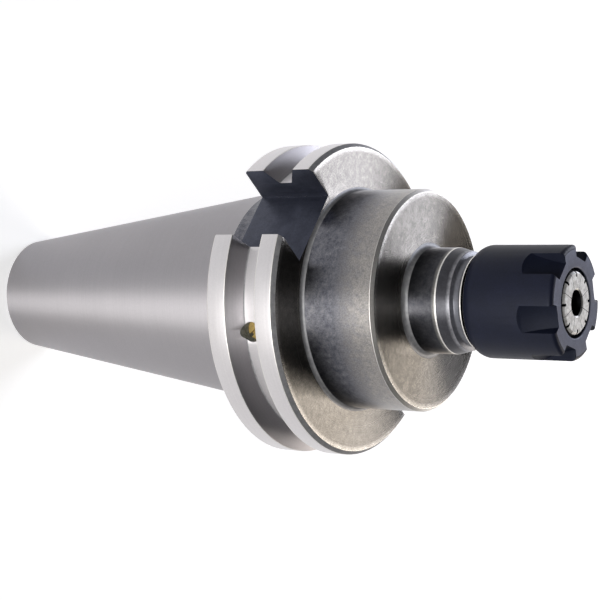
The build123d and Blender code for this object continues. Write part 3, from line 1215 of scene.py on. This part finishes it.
@dataclass
class HolderBody:
    """Shank, flange, nose and neck, turned from one bar; sizes in millimetres."""

    at: Stations

    # Taper and flange with its gripper groove
    gauge_radius: float = 22.225
    taper_ratio: float = 7 / 24
    small_chamfer: float = 0.3
    gauge_round: float = 0.12
    flange_radius: float = 31.75
    flange_root_round: float = 0.3
    flange_rear_chamfer: float = 0.5
    flange_front_chamfer: float = 0.8
    rim_round: float = 0.22
    groove_radius: float = 28.125
    groove_floor_half: float = 1.41
    groove_flank_angle: float = 30.0
    groove_corner_rounds: tuple[float, float] = (0.3, 0.2)
    face_round: float = 0.15

    # Nose, neck and its cone
    nose_radius: float = 22.15
    nose_chamfer: float = 0.65
    nose_root_fillet: float = 0.7
    neck_radius: float = 10.5
    neck_root_fillet: float = 1.0
    neck_cone_round: float = 1.2
    cone_length: float = 2.8
    cone_radius: float = 9.75
    cone_round: float = 0.1
    shoulder_length: float = 0.3

    # Relief and nut thread
    relief_radius: float = 8.8
    relief_length: float = 1.0
    relief_fillet: float = 0.3
    thread_root: float = 8.9
    thread_pitch: float = 1.0
    thread_lead: float = 0.65
    thread_lead_land: float = 0.22
    thread_lead_end: float = 1.15
    thread_shade_end: float = 2.0
    ridge_start: float = 1.75
    ridge_end: float = 0.4
    end_chamfer: float = 0.35
    end_flat: float = 0.2

    # Bore with the stop screw's and the stud's threads
    preset_radius: float = 5.45
    preset_start: float = 14.0
    coolant_radius: float = 4.25
    stud_core_radius: float = 6.75
    stud_drill_point: float = 1.5
    stud_major_radius: float = 7.9
    stud_pitch: float = 25.4 / 11
    stud_pilot_radius: float = 8.135
    stud_pilot_depth: float = 5.0
    stud_pilot_cone: float = 0.7
    stud_countersink: float = 0.6
    stud_thread_end: float = 33.0
    stud_run_out: float = 2.0
    stud_run_out_cone: float = 0.2
    stud_ridge_start: float = 1.8
    stud_ridge_end: float = 3.0

    # Drive slots and coolant passages
    slot_width: float = 16.4
    slot_floors: tuple[float, float] = (22.7, 25.0)
    slot_outer: float = 34.0
    coolant_turns: tuple[float, float] = (-39.0, 141.0)
    cross_radius: float = 1.65
    cross_inner: float = 3.0
    plug_hole_radius: float = 2.0
    plug_hole_depth: float = 6.4
    plug_hole_outer: float = 33.0
    port_circle: float = 27.0
    port_radius: float = 2.0
    port_depth: float = 2.5
    feed_radius: float = 1.3
    feed_entry: float = 2.2
    feed_meet: float = 12.7

    # How far cutting solids stand out, and the broken edges
    overcut: float = 0.5
    edge_width: float = 0.16
    piece: bpy.types.Object | None = field(default=None, repr=False)

    @property
    def relief_end(self) -> float:
        """Return the height at which the relief ends and the nut thread starts."""
        return self.at.neck_front + self.cone_length + self.shoulder_length + self.relief_length

    def profile(self) -> list[Corner]:
        """Return the closed section: outside from the small end up, then the bore down."""
        return [*self.shank_and_flange(), *self.nose_and_neck(), *self.bore()]

    def shank_and_flange(self) -> list[Corner]:
        """Lay out the taper and the flange with its groove.

        Returns:
            Corners from the small end to the flange's front face.
        """
        f, at = Finish, self.at
        small = self.gauge_radius - at.gauge * self.taper_ratio / 2
        flank = (self.flange_radius - self.groove_radius) * math.tan(math.radians(self.groove_flank_angle))
        half = self.groove_floor_half
        rear_round, front_round = self.groove_corner_rounds
        return [
            Corner(small - self.small_chamfer, 0, f.TAPER),
            Corner(small, self.small_chamfer, f.TAPER, self.face_round),
            Corner(self.gauge_radius, at.gauge, f.NOSE, self.gauge_round, f.EDGE),
            Corner(self.gauge_radius, at.flange_rear, f.RIM, self.flange_root_round),
            Corner(self.flange_radius - self.flange_rear_chamfer, at.flange_rear, f.EDGE),
            Corner(self.flange_radius, at.flange_rear + self.flange_rear_chamfer, f.RIM),
            Corner(self.flange_radius, at.groove - half - flank, f.TAPER, self.rim_round, f.EDGE),
            # The groove's two inner corners take the chamfer's grey: painted shade in the creases
            Corner(self.groove_radius, at.groove - half, f.RIM, rear_round, f.CHAMFER),
            Corner(self.groove_radius, at.groove + half, f.RIM, front_round, f.CHAMFER),
            Corner(self.flange_radius, at.groove + half + flank, f.RIM, self.rim_round, f.EDGE),
            Corner(
                self.flange_radius, at.flange_front - self.flange_front_chamfer,
                f.CHAMFER, self.rim_round, f.EDGE,
            ),
            Corner(
                self.flange_radius - self.flange_front_chamfer, at.flange_front,
                f.FACE, self.face_round,
            ),
        ]

    def nose_and_neck(self) -> list[Corner]:
        """Lay out the nose, the neck with its cone, and the relief and thread.

        Returns:
            Corners from the nose's root to the neck's end.
        """
        f, at = Finish, self.at
        cone_front = at.neck_front + self.cone_length
        start = self.relief_end
        crest = at.thread_radius - at.thread_clearance
        return [
            Corner(self.nose_radius, at.flange_front, f.NOSE, self.nose_root_fillet, f.CHAMFER),
            Corner(self.nose_radius, at.nose_front - self.nose_chamfer, f.EDGE, self.face_round),
            Corner(self.nose_radius - self.nose_chamfer, at.nose_front, f.FACE, self.face_round),
            Corner(self.neck_radius, at.nose_front, f.NECK, self.neck_root_fillet, f.CHAMFER),
            Corner(self.neck_radius, at.neck_front, f.CONE, self.neck_cone_round, f.EDGE),
            Corner(self.cone_radius, cone_front, f.RELIEF, self.cone_round),
            Corner(self.relief_radius, cone_front + self.shoulder_length, f.RELIEF, self.relief_fillet),
            Corner(self.relief_radius, start, f.RELIEF),
            Corner(crest, start + self.thread_lead, f.EDGE),
            # From here to the shade end the thread's start takes the bore's dark finish: painted shade
            # behind the nut's rear face
            Corner(crest, start + self.thread_lead + self.thread_lead_land, f.BORE),
            Corner(self.thread_root, start + self.thread_lead_end, f.BORE),
            Corner(self.thread_root, start + self.thread_shade_end, f.NECK),
            Corner(self.thread_root, at.mouth - self.end_chamfer, f.NECK),
            Corner(self.thread_root - self.end_flat, at.mouth, f.NECK),
        ]

    def bore(self) -> list[Corner]:
        """Lay out the bore.

        Returns:
            Corners from the collet's pocket down to the stud's seat.
        """
        f, at = Finish, self.at
        mouth_radius = at.collet_radius - at.mouth_setback * at.collet_slope + at.cone_clearance
        pocket_bottom = at.mouth - (mouth_radius - self.preset_radius) / at.collet_slope
        preset = at.gauge + self.preset_start
        run_out = self.stud_thread_end - self.stud_run_out
        return [
            Corner(mouth_radius, at.mouth, f.COLLET),
            Corner(self.preset_radius, pocket_bottom, f.BORE),
            Corner(self.preset_radius, preset + self.preset_radius - self.coolant_radius, f.BORE),
            Corner(self.coolant_radius, preset, f.BORE),
            Corner(self.coolant_radius, self.stud_thread_end + self.stud_drill_point, f.BORE),
            Corner(self.stud_core_radius, self.stud_thread_end, f.BORE),
            Corner(self.stud_core_radius, run_out, f.BORE),
            Corner(self.stud_major_radius, run_out - self.stud_run_out_cone, f.BORE),
            Corner(self.stud_major_radius, self.stud_pilot_depth + self.stud_pilot_cone, f.BORE),
            Corner(self.stud_pilot_radius, self.stud_pilot_depth, f.RIM),
            Corner(self.stud_pilot_radius, self.stud_countersink, f.RIM),
            Corner(self.stud_pilot_radius + self.stud_countersink, 0, f.TAPER),
        ]

    def drive_slots(self) -> list[bpy.types.Object]:
        """Make the two drive slots, the deeper one on the -Y side.

        Returns:
            The solids to cut away.
        """
        half = self.slot_width / 2
        rear = self.at.flange_rear - self.overcut
        depth = Vector((0, 0, self.at.flange_width + 2 * self.overcut))
        solids = []
        for side, floor in zip((-1, 1), self.slot_floors):
            outline = [
                Vector((-half, side * floor, rear)),
                Vector((half, side * floor, rear)),
                Vector((half, side * self.slot_outer, rear)),
                Vector((-half, side * self.slot_outer, rear)),
            ]
            solids.append(prism("drive slot", outline, depth, Finish.SLOT))
        return solids

    def coolant_holes(self, turn: float) -> list[bpy.types.Object]:
        """Make the holes of one coolant passage as solids to cut away.

        Args:
            turn: Direction of the passage from +X towards +Y, in degrees.

        Returns:
            Cross drilling, plug hole, port in the rear face and slanting feed.
        """
        way = Vector((math.cos(math.radians(turn)), math.sin(math.radians(turn)), 0))
        level = Vector((0, 0, self.at.groove))
        inner = self.groove_radius - self.plug_hole_depth
        rear = way * self.port_circle + Vector((0, 0, self.at.flange_rear))
        mouth = rear - Vector((0, 0, self.overcut))
        entry = rear + Vector((0, 0, self.feed_entry))
        holes = (
            ("cross drilling", level + way * self.cross_inner, level + way * (inner + 2 * self.overcut),
             self.cross_radius, Finish.BORE),
            ("plug hole", level + way * inner, level + way * self.plug_hole_outer,
             self.plug_hole_radius, Finish.DRILLED),
            ("coolant port", mouth, rear + Vector((0, 0, self.port_depth)), self.port_radius, Finish.BORE),
            ("slanting feed", entry, level + way * self.feed_meet, self.feed_radius, Finish.BORE),
        )
        return [rod(name, start, end, radius, finish) for name, start, end, radius, finish in holes]

    def build(self) -> bpy.types.Object:
        """Make the body with its threads.

        Returns:
            The finished piece.
        """
        self.piece = lathe("holder", self.profile())
        cutters = self.drive_slots()
        for turn in self.coolant_turns:
            cutters += self.coolant_holes(turn)
        cut_away(self.piece, cutters)
        dress_edges(self.piece, self.edge_width, Finish.EDGE)
        clearance = self.at.thread_clearance
        neck_thread = ThreadRidge(
            "neck thread", self.thread_root - clearance, self.at.thread_radius, self.thread_pitch,
            self.relief_end + self.ridge_start, self.at.mouth - self.ridge_end, Finish.NECK,
        )
        stud_thread = ThreadRidge(
            "stud thread", self.stud_major_radius + clearance, self.stud_core_radius, self.stud_pitch,
            self.stud_pilot_depth + self.stud_ridge_start, self.stud_thread_end - self.stud_ridge_end,
            Finish.BORE,
        )
        join(self.piece, [neck_thread.build(), stud_thread.build()])
        return self.piece

    def dress(self) -> None:
        """Let the piece stand for its node and ride on the holder."""
        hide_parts("holder_body")
        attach(self.piece, "holder")


@dataclass
class ColletNut:
    """Slim threaded nut with six wrench slots; sizes in millimetres."""

    at: Stations
    radius: float = 11.0
    rear_radius: float = 10.3
    rear_round: float = 0.2
    shoulder: float = 1.9
    shoulder_steps: int = 8
    rim_round: float = 0.9
    mouth_radius: float = 6.7
    mouth_round: float = 0.2
    seat_recess: float = 0.3
    lip_thickness: float = 1.2
    lip_overlap: float = 0.4
    lip_overcut: float = 0.2
    shoulder_relief: float = 0.25
    shoulder_clearance: float = 0.15
    slots: int = 6
    slot_turn: float = -95.2
    slot_depth: float = 2.5
    slot_floor_width: float = 4.2
    slot_length: float = 7.2
    slot_disc: float = 25.0
    slot_run_on: float = 0.5
    slot_steps: int = 24
    tab_round: float = 0.8
    tab_steps: int = 8
    overcut: float = 1.0
    segments: int = 144
    lip_segments: int = 96
    edge_width: float = 0.3
    edge_angle: float = 24.0
    piece: bpy.types.Object | None = field(default=None, repr=False)

    @property
    def lip_middle(self) -> float:
        """Return the height of the extractor lip's middle, level with the collet's groove."""
        return (self.at.collet_shoulder + self.at.head_rear - self.at.collet_head_land) / 2

    def profile(self) -> list[Corner]:
        """Lay out the nut's section.

        Returns:
            Closed section, outside from the rear up, then the inside down.
        """
        f, at = Finish, self.at
        # The rear edge's rounding takes the bright edge finish: a painted highlight on the coated nut
        corners = [Corner(self.rear_radius, at.nut_rear, f.NUT, self.rear_round, f.EDGE)]
        # Arc that leaves the outside smoothly and meets the rear face at a corner
        drop = self.radius - self.rear_radius
        arc = (self.shoulder**2 + drop**2) / (2 * drop)
        for i in range(1, self.shoulder_steps + 1):
            up = self.shoulder * i / self.shoulder_steps
            spread = self.radius - arc + math.sqrt(arc**2 - (self.shoulder - up) ** 2)
            corners.append(Corner(spread, at.nut_rear + up, f.NUT))
        # Seat that bears on the collet's head with the cone clearance, square to its slope
        shift = at.cone_clearance * math.hypot(1, at.head_slope)
        cone = (self.mouth_radius - shift - at.collet_face_radius) / at.head_slope
        seat_front = at.collet_face - at.collet_face_chamfer - cone
        pocket = at.collet_head_radius + self.seat_recess
        seat_rear = seat_front - (pocket - self.mouth_radius) / at.head_slope
        lip_radius = at.collet_head_radius - self.lip_overlap
        lip_front = self.lip_middle + self.lip_thickness / 2
        lip_rear = self.lip_middle - self.lip_thickness / 2
        bore = at.thread_radius + at.thread_clearance
        corners += [
            Corner(self.radius, at.nut_front, f.NUT_FACE, self.rim_round, f.NUT),
            Corner(self.mouth_radius, at.nut_front, f.NUT, self.mouth_round, f.NUT_FACE),
            Corner(self.mouth_radius, seat_front, f.NUT),
            Corner(pocket, seat_rear, f.NUT),
            Corner(pocket, lip_front, f.NUT),
            Corner(lip_radius, lip_front, f.NUT),
            Corner(lip_radius, lip_rear, f.NUT),
            Corner(at.collet_radius + self.shoulder_relief, lip_rear, f.NUT),
            Corner(bore, at.collet_shoulder + self.shoulder_clearance, f.NUT),
            Corner(bore, at.nut_rear, f.NUT),
        ]
        return corners

    def slot_levels(self) -> list[tuple[float, float, float]]:
        """Work out the cross sections of a wrench slot, from its run-out to the nut's face.

        Returns:
            Height, distance of the floor from the axis and flare of the flanks of each section.
        """
        deepest = self.radius - self.slot_depth
        middle = Vector(((deepest + self.radius) / 2, self.slot_length / 2))
        chord = Vector((self.radius - deepest, self.slot_length))
        rise = math.sqrt(self.slot_disc**2 - (chord.length / 2) ** 2)
        centre = middle + Vector((chord.y, -chord.x)).normalized() * rise
        runs = []
        for i in range(self.slot_steps + 1):
            share = i / self.slot_steps
            runs.append(((self.slot_length + self.slot_run_on) * (1 - share) + self.tab_round * share, 0.0))
        for i in range(1, self.tab_steps + 1):
            angle = math.radians(90 * i / self.tab_steps)
            runs.append((self.tab_round * (1 - math.sin(angle)), self.tab_round * (1 - math.cos(angle))))
        levels = []
        for run, flare in runs:
            floor = centre.x - math.sqrt(self.slot_disc**2 - (run - centre.y) ** 2)
            levels.append((self.at.nut_front - run, floor, flare))
        levels.append((self.at.nut_front + self.overcut, deepest, self.tab_round))
        return levels

    def slot_solid(self) -> bpy.types.Object:
        """Make the solid that cuts one wrench slot, on the +X side.

        Returns:
            The solid, with radial flanks and a floor that runs out on an arc.
        """
        made = bmesh.new()
        outer = self.radius + self.overcut
        spread = self.slot_floor_width / 2 / (self.radius - self.slot_depth)
        rings = []
        for height, floor, flare in self.slot_levels():
            corners = [
                (floor, -floor * spread),
                (outer, -outer * spread - flare),
                (outer, outer * spread + flare),
                (floor, floor * spread),
            ]
            rings.append([made.verts.new((x * MM, y * MM, height * MM)) for x, y in corners])
        for lower, upper in zip(rings, rings[1:]):
            for i in range(4):
                j = (i + 1) % 4
                made.faces.new((lower[i], lower[j], upper[j], upper[i]))
        made.faces.new(rings[0])
        made.faces.new(list(reversed(rings[-1])))
        return closed_piece("wrench slot", made, [Finish.NUT_SLOT])

    def build(self) -> bpy.types.Object:
        """Make the nut.

        Returns:
            The finished piece.
        """
        self.piece = lathe("nut", self.profile(), self.segments)
        slots = ring_of("wrench slots", self.slot_solid(), self.slots, self.slot_turn, Finish.NUT_SLOT)
        reach = self.lip_thickness / 2 + self.lip_overcut
        lip = rod(
            "lip gap",
            Vector((self.lip_overlap, 0, self.lip_middle - reach)),
            Vector((self.lip_overlap, 0, self.lip_middle + reach)),
            self.at.collet_head_radius,
            Finish.NUT,
            self.lip_segments,
        )
        cut_away(self.piece, [slots, lip])
        dress_edges(self.piece, self.edge_width, None, self.edge_angle)
        return self.piece

    def dress(self) -> None:
        """Let the piece stand for its node and ride on the nut."""
        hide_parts("collet_nut")
        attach(self.piece, "nut")


@dataclass
class SlitCollet:
    """Tapered spring collet, slit in turn from both ends; sizes in millimetres."""

    at: Stations
    rear_chamfer: float = 0.4
    shoulder_chamfer: float = 0.24
    groove_radius: float = 6.9
    face_chamfer: float = 0.4
    bore_radius: float = 2.5
    bore_chamfer: float = 0.25
    slits: int = 8
    slit_turn: float = -93.1
    rear_slit: float = 0.5
    rear_slit_inner: float = 0.4
    rear_slit_rim: float = 6.2
    rear_slit_run_out: float = 5.0
    rear_slit_bulge: float = 0.45
    rear_slit_steps: int = 6
    front_slit: float = 0.1
    front_slit_inner: float = 0.3
    front_slit_end_wall: float = 4.5
    overcut: float = 1.0
    segments: int = 128
    piece: bpy.types.Object | None = field(default=None, repr=False)

    def profile(self) -> list[Corner]:
        """Lay out the collet's section.

        Returns:
            Closed section, outside from the rear up, then the bore down.
        """
        f, at = Finish, self.at
        rear_radius = at.collet_radius - (at.collet_shoulder - at.collet_rear) * at.collet_slope
        land_rear = at.head_rear - at.collet_head_land
        return [
            Corner(self.bore_radius, at.collet_rear, f.COLLET),
            Corner(rear_radius - self.rear_chamfer / 2, at.collet_rear, f.COLLET),
            Corner(rear_radius, at.collet_rear + self.rear_chamfer, f.COLLET),
            Corner(at.collet_radius, at.collet_shoulder - self.shoulder_chamfer, f.COLLET),
            Corner(at.collet_radius - self.shoulder_chamfer, at.collet_shoulder, f.COLLET),
            Corner(self.groove_radius, at.collet_shoulder, f.COLLET),
            Corner(self.groove_radius, land_rear, f.COLLET),
            Corner(at.collet_head_radius, land_rear, f.COLLET),
            # The head's steep cone takes the bore's dark finish: painted shade in the gap at the nut's mouth
            Corner(at.collet_head_radius, at.head_rear, f.BORE),
            Corner(at.collet_face_radius, at.collet_face - self.face_chamfer, f.COLLET_FACE),
            Corner(at.collet_face_radius - self.face_chamfer, at.collet_face, f.COLLET_FACE),
            Corner(self.bore_radius + self.bore_chamfer, at.collet_face, f.COLLET),
            Corner(self.bore_radius, at.collet_face - self.bore_chamfer, f.BORE),
        ]

    def rear_slit_solid(self) -> bpy.types.Object:
        """Make one rear slit, open to the rear and running out on an arc near the face.

        Returns:
            The solid that cuts it, on the +X side.
        """
        outer = self.at.collet_radius + self.overcut
        front, rear = self.at.collet_face + self.overcut, self.at.collet_rear - self.overcut
        outline = [(self.rear_slit_rim, front), (outer, front), (outer, rear), (self.rear_slit_inner, rear)]
        for i in range(self.rear_slit_steps):
            share = i / self.rear_slit_steps
            reach = self.rear_slit_inner + (self.rear_slit_rim - self.rear_slit_inner) * share
            rise = (self.rear_slit_run_out + self.overcut) * share
            bulge = self.rear_slit_bulge * math.sin(math.pi * share)
            outline.append((reach, self.at.collet_face - self.rear_slit_run_out + rise + bulge))
        return slit_plate("rear slit", outline, self.rear_slit)

    def front_slit_solid(self) -> bpy.types.Object:
        """Make one front slit, open to the face and stopping short of the rear end.

        Returns:
            The solid that cuts it, on the +X side.
        """
        outer = self.at.collet_radius + self.overcut
        low, high = self.at.collet_rear + self.front_slit_end_wall, self.at.collet_face + self.overcut
        outline = [(self.front_slit_inner, low), (outer, low), (outer, high), (self.front_slit_inner, high)]
        return slit_plate("front slit", outline, self.front_slit)

    def build(self) -> bpy.types.Object:
        """Make the collet.

        Returns:
            The finished piece.
        """
        self.piece = lathe("slit_collet", self.profile(), self.segments)
        between = self.slit_turn + 180 / self.slits
        rings = [
            ring_of("rear slits", self.rear_slit_solid(), self.slits, self.slit_turn, Finish.BORE),
            ring_of("front slits", self.front_slit_solid(), self.slits, between, Finish.BORE),
        ]
        cut_away(self.piece, rings)
        dress_edges(self.piece, 0.0, None)
        return self.piece

    def dress(self) -> None:
        """Let the piece stand for its node and ride on the collet."""
        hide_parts("collet")
        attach(self.piece, "collet_body")


@dataclass
class SmallParts:
    """Coolant plugs and stop screw, shown as the solids are, with their own finishes."""

    finishes: dict[str, Finish] = field(
        default_factory=lambda: {"coolant_plugs": Finish.BRASS, "stop_screw": Finish.SCREW}
    )

    def dress(self, nodes: dict[str, bpy.types.Object]) -> None:
        """Give each node its material.

        Args:
            nodes: CAD nodes by name.
        """
        for name, finish in self.finishes.items():
            mesh = nodes[name].data
            mesh.materials.clear()
            mesh.materials.append(finish.material)
            LOG.info("%s: %s", name, finish.value.name)


@dataclass(frozen=True)
class Lamp:
    """Oblong soft lamp that faces the middle of the object.

    Attributes:
        name: Name of the lamp.
        azimuth: Direction from the axis, in degrees from +X towards +Y.
        elevation: Angle above the middle of the object, in degrees.
        distance: Distance from the middle, in millimetres.
        width: Level side, in millimetres.
        height: Upright side, in millimetres.
        power: Watts.
        tint: Colour of the light.
    """

    name: str
    azimuth: float
    elevation: float
    distance: float
    width: float
    height: float
    power: float
    tint: str

    def hang(self, middle: Vector) -> None:
        """Hang the lamp and turn it to the object.

        Args:
            middle: Middle of the object, in millimetres.
        """
        a, e = math.radians(self.azimuth), math.radians(self.elevation)
        way = Vector((math.cos(a) * math.cos(e), math.sin(a) * math.cos(e), math.sin(e)))
        data = bpy.data.lights.new(self.name, "AREA")
        data.shape = "RECTANGLE"
        data.size = self.width * MM
        data.size_y = self.height * MM
        data.energy = self.power
        data.color = srgb(self.tint)[:3]
        lamp = bpy.data.objects.new(self.name, data)
        lamp.location = (middle + self.distance * way) * MM
        lamp.rotation_euler = (-way).to_track_quat("-Z", "Y").to_euler()
        bpy.context.scene.collection.objects.link(lamp)


@dataclass
class Studio:
    """White floor, soft lamps and the camera; places in millimetres."""

    camera_at: tuple[float, float, float] = (168.679, -222.280, 256.895)
    look: tuple[float, float, float] = (-0.503239, 0.665162, -0.551643)
    up: tuple[float, float, float] = (-0.791107, -0.611478, -0.015619)
    lens: float = 95.88
    sensor: float = 36.0
    clip: tuple[float, float] = (20.0, 20000.0)
    floor_size: float = 9000.0
    floor_tint: str = "dddddd"
    floor_glow: float = 0.56
    air_tint: str = "c4c5cb"
    air_strength: float = 0.06
    lamps_face: tuple[float, float, float] = (0.0, 0.0, 70.0)
    lamps: tuple[Lamp, ...] = (
        Lamp("side lamp, upper", 152, 30, 900, 330, 860, 5.4, "f1f4ff"),
        Lamp("side lamp, lower", 103, 30, 900, 330, 860, 3.3, "fff7ee"),
        Lamp("front lamp", 322, 9, 800, 420, 300, 4.6, "fffefc"),
    )

    def card(self) -> bpy.types.Material:
        """Make the floor's white card.

        Returns:
            The material: matt card that looks white to the camera and in mirrors, and keeps shadows.
        """
        made = bpy.data.materials.new("white card")
        made.use_nodes = True
        tree = made.node_tree
        tree.nodes.clear()
        card = add_node(tree, "ShaderNodeBsdfDiffuse", {"Color": srgb(self.floor_tint)})
        glow = add_node(tree, "ShaderNodeEmission", {"Color": srgb("ffffff"), "Strength": self.floor_glow})
        path = add_node(tree, "ShaderNodeLightPath").outputs
        seen = add_node(
            tree,
            "ShaderNodeMath",
            {0: path["Is Camera Ray"], 1: path["Is Glossy Ray"]},
            operation="MAXIMUM",
        )
        clear = add_node(
            tree,
            "ShaderNodeMath",
            {0: seen.outputs["Value"], 1: path["Is Transmission Ray"]},
            operation="MAXIMUM",
        )
        lit = add_node(tree, "ShaderNodeAddShader", {0: card.outputs["BSDF"], 1: glow.outputs["Emission"]})
        both = add_node(
            tree,
            "ShaderNodeMixShader",
            {0: clear.outputs["Value"], 1: card.outputs["BSDF"], 2: lit.outputs["Shader"]},
        )
        add_node(tree, "ShaderNodeOutputMaterial", {"Surface": both.outputs["Shader"]})
        return made

    def floor(self) -> None:
        """Lay the white floor, which keeps the object's shadow."""
        half = self.floor_size / 2 * MM
        mesh = bpy.data.meshes.new("floor")
        corners = [(-half, -half, 0), (half, -half, 0), (half, half, 0), (-half, half, 0)]
        mesh.from_pydata(corners, [], [(0, 1, 2, 3)])
        mesh.materials.append(self.card())
        new_piece("floor", mesh)

    def light(self) -> None:
        """Set the world and the lamps."""
        world = bpy.data.worlds.new("studio")
        world.use_nodes = True
        tree = world.node_tree
        tree.nodes.clear()
        air = add_node(
            tree,
            "ShaderNodeBackground",
            {"Color": srgb(self.air_tint), "Strength": self.air_strength},
        )
        add_node(tree, "ShaderNodeOutputWorld", {"Surface": air.outputs["Background"]})
        bpy.context.scene.world = world
        for lamp in self.lamps:
            lamp.hang(Vector(self.lamps_face))

    def camera(self) -> None:
        """Place the camera as the photograph was taken: from above the nose, turned on its side."""
        data = bpy.data.cameras.new("camera")
        data.lens = self.lens
        data.sensor_width = self.sensor
        data.clip_start = self.clip[0] * MM
        data.clip_end = self.clip[1] * MM
        camera = bpy.data.objects.new("camera", data)
        forward = Vector(self.look).normalized()
        right = forward.cross(Vector(self.up)).normalized()
        top = right.cross(forward)
        turn = Matrix((right, top, -forward)).transposed()
        camera.matrix_world = Matrix.Translation(Vector(self.camera_at) * MM) @ turn.to_4x4()
        bpy.context.scene.collection.objects.link(camera)
        bpy.context.scene.camera = camera

    def build(self) -> None:
        """Set up floor, lamps, camera and colour handling."""
        self.floor()
        self.light()
        self.camera()
        bpy.context.scene.view_settings.view_transform = "Standard"


def main() -> None:
    """Build the holder's pieces in order and set the studio round them."""
    logging.basicConfig(level=logging.INFO, format="%(message)s")
    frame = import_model()
    at = Stations()
    for part in (HolderBody(at), ColletNut(at), SlitCollet(at)):
        piece = part.build()
        part.dress()
        LOG.info("%s: %d faces", piece.name, len(piece.data.polygons))
    SmallParts().dress(frame["nodes"])
    Studio().build()


if __name__ == "__main__":
    main()
